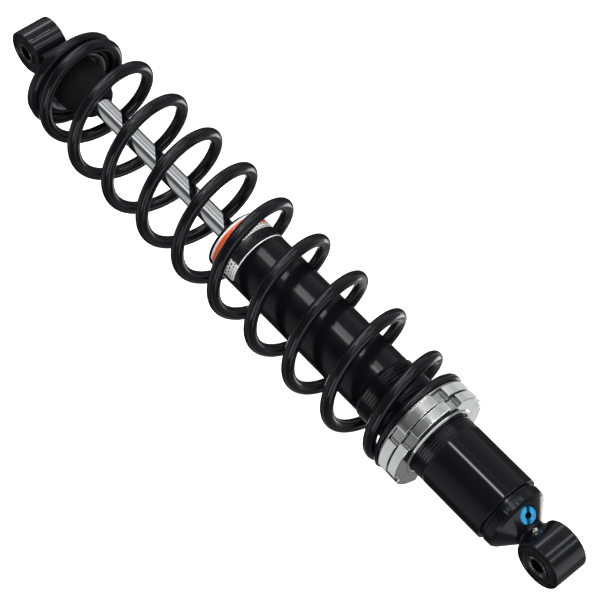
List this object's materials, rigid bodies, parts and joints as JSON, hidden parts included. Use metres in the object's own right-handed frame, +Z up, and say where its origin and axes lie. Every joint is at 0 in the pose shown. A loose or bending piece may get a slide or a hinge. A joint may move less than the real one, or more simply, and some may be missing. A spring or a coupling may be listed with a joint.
{
  "type": "coil-over shock absorber",
  "caption": "Coil-over gas damper with bushed eyes, chromed rod, black helical spring, threaded preload rings and a blue gas port plug.",
  "frame": {"origin": "centre of the body eye, on its bolt axis, where the shock is held", "axes": "+Z up along the damper from the rod eye to the body eye; both bolt axes run along X; the gas port faces -Y"},
  "size_m": [0.0856, 0.0856, 0.5411],
  "materials": {
    "black_paint": "satin black paint over steel",
    "tube_coat": "satin black coat over steel, smooth",
    "spring_paint": "semi-gloss black paint over spring steel",
    "chrome_rod": "hard chrome, polished",
    "turned_aluminium": "bright turned finish",
    "plated_steel": "zinc plated",
    "spring_steel": "plain oiled spring steel",
    "sintered_steel": "plain machined",
    "bronze_band": "matt bearing bronze",
    "blue_anodised": "satin blue anodised aluminium",
    "rubber": "matt black rubber",
    "seal_polymer": "dark green seal polymer",
    "bump_foam": "matt cellular polyurethane",
    "label_film": "printed polyester film"
  },
  "bodies": {
    "damper_body": {"body_tube": "tube_coat", "end_cap": "tube_coat", "end_cap_oring": "rubber", "gas_port_plug": "blue_anodised", "gas_port_seal": "rubber", "body_eye_bush": "rubber", "seal_head": "turned_aluminium", "rod_seal": "seal_polymer", "wiper_seal": "rubber", "guide_bush": "bronze_band", "seal_head_oring": "rubber", "circlip": "spring_steel", "dust_cap": "tube_coat", "warning_label": "label_film", "coil_spring": "spring_paint"},
    "body_sleeve": {"body_eye_sleeve": "plated_steel"},
    "float_assembly": {"floating_piston": "turned_aluminium", "floating_piston_oring": "rubber", "floating_piston_band": "bronze_band"},
    "preload_seat": {"spring_washer": "plated_steel"},
    "adjuster": {"adjuster_ring": "turned_aluminium"},
    "locker": {"lock_ring": "turned_aluminium"},
    "spring_seat": {"spring_retainer": "black_paint", "bump_cup": "plated_steel"},
    "rod_assembly": {"rod_eye": "black_paint", "rod_eye_bush": "rubber", "piston_rod": "chrome_rod", "jam_nut": "plated_steel", "bump_stop": "bump_foam", "piston": "sintered_steel", "piston_band": "bronze_band", "piston_nut": "plated_steel", "top_out_bumper": "rubber", "compression_shim_1": "spring_steel", "compression_shim_2": "spring_steel", "compression_shim_3": "spring_steel", "rebound_shim_1": "spring_steel", "rebound_shim_2": "spring_steel", "rebound_shim_3": "spring_steel"},
    "rod_sleeve": {"rod_eye_sleeve": "plated_steel"}
  },
  "joints": [
    {"name": "rod_slide", "type": "slide", "parent": "damper_body", "child": "spring_seat", "axis": [0, 0, 1], "range_m": [0, 0.14], "stiffness_N_per_m": 11400, "springref_m": -0.008, "deforming": ["coil_spring"]},
    {"name": "rod_turn", "type": "hinge", "parent": "spring_seat", "child": "rod_assembly", "pos_m": [0, 0, -0.408], "axis": [0, 0, 1], "continuous": true},
    {"name": "floating_piston_slide", "type": "slide", "parent": "damper_body", "child": "float_assembly", "axis": [0, 0, 1], "range_m": [0, 0.0175]},
    {"name": "preload_travel", "type": "slide", "parent": "damper_body", "child": "preload_seat", "axis": [0, 0, -1], "range_m": [-0.008, 0.016], "deforming": ["coil_spring"]},
    {"name": "adjuster_turn", "type": "hinge", "parent": "preload_seat", "child": "adjuster", "pos_m": [0, 0, -0.1112], "axis": [0, 0, -1], "range_deg": [-1441, 2881]},
    {"name": "lock_ring_turn", "type": "hinge", "parent": "preload_seat", "child": "locker", "pos_m": [0, 0, -0.1033], "axis": [0, 0, -1], "range_deg": [-1441, 2881]},
    {"name": "body_sleeve_twist", "type": "hinge", "parent": "damper_body", "child": "body_sleeve", "pos_m": [0, 0, 0], "axis": [1, 0, 0], "range_deg": [-20, 20], "stiffness_Nm_per_rad": 8},
    {"name": "rod_sleeve_twist", "type": "hinge", "parent": "rod_assembly", "child": "rod_sleeve", "pos_m": [0, 0, -0.508], "axis": [1, 0, 0], "range_deg": [-20, 20], "stiffness_Nm_per_rad": 8}
  ],
  "couplings": [
    {"joint": "floating_piston_slide", "follows": "rod_slide", "ratio": 0.1225},
    {"joint": "adjuster_turn", "follows": "preload_travel", "rad_per_m": 3141.6},
    {"joint": "lock_ring_turn", "follows": "preload_travel", "rad_per_m": 3141.6}
  ]
}
